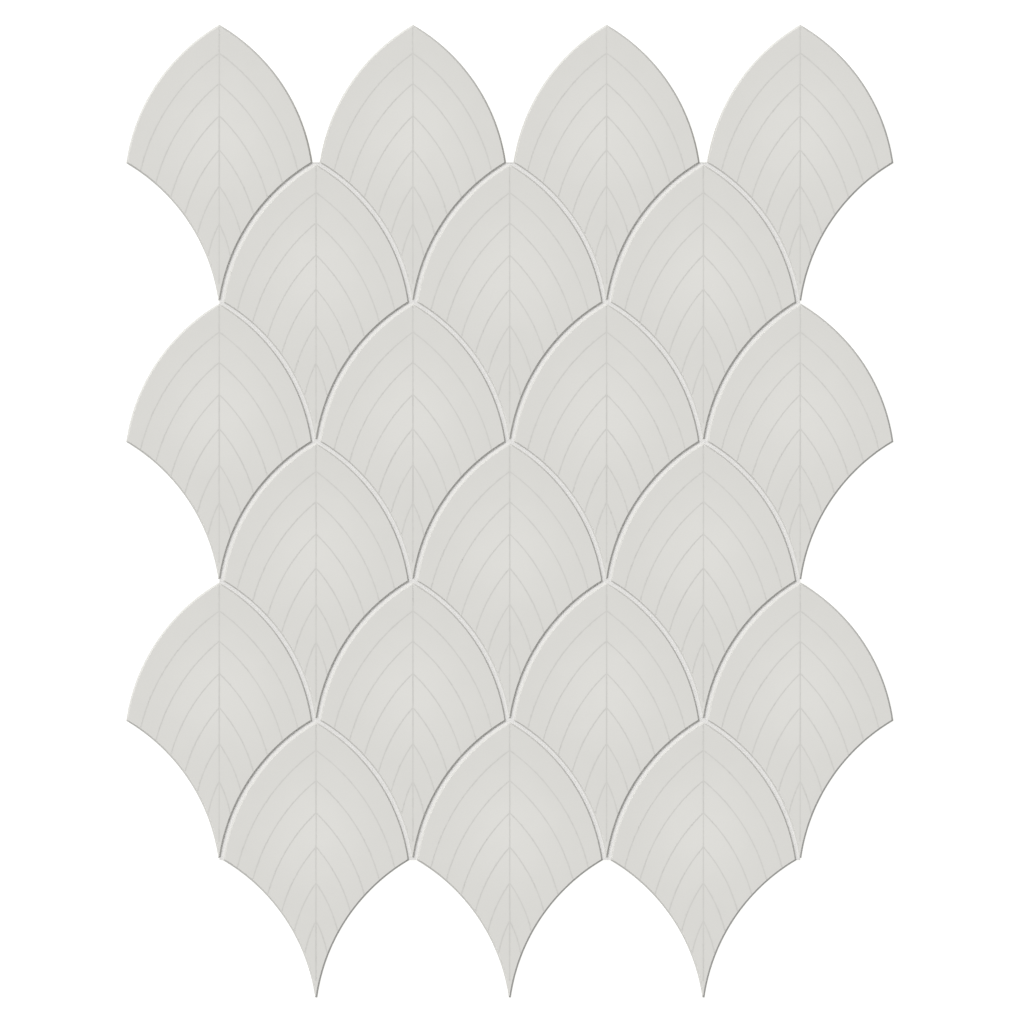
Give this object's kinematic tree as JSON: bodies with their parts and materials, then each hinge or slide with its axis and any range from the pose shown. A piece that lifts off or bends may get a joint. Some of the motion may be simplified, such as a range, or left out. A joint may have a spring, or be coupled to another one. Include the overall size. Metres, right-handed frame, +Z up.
{
  "type": "fish scale tile",
  "caption": "Mosaic sheet of pointed fish-scale tiles with leaf-veined faces and bevelled edges, nested in staggered rows with white-filled joints on a backing mesh.",
  "frame": {"origin": "centre of the underside of the sheet's bounding box", "axes": "+Z up out of the decorated faces, +Y from the pointed tips up to the pointed heads of the scales, +X across the sheet to the right"},
  "size_m": [0.2406, 0.305, 0.0084],
  "materials": {
    "fired_ceramic": "satin",
    "white_filler": "matte",
    "glass_fibre": "matte"
  },
  "bodies": {
    "root": {"scales_row_1": "fired_ceramic", "scales_row_2": "fired_ceramic", "scales_row_3": "fired_ceramic", "scales_row_4": "fired_ceramic", "scales_row_5": "fired_ceramic", "scales_row_6": "fired_ceramic", "joint_filler": "white_filler", "backing_mesh": "glass_fibre"}
  },
  "joints": []
}
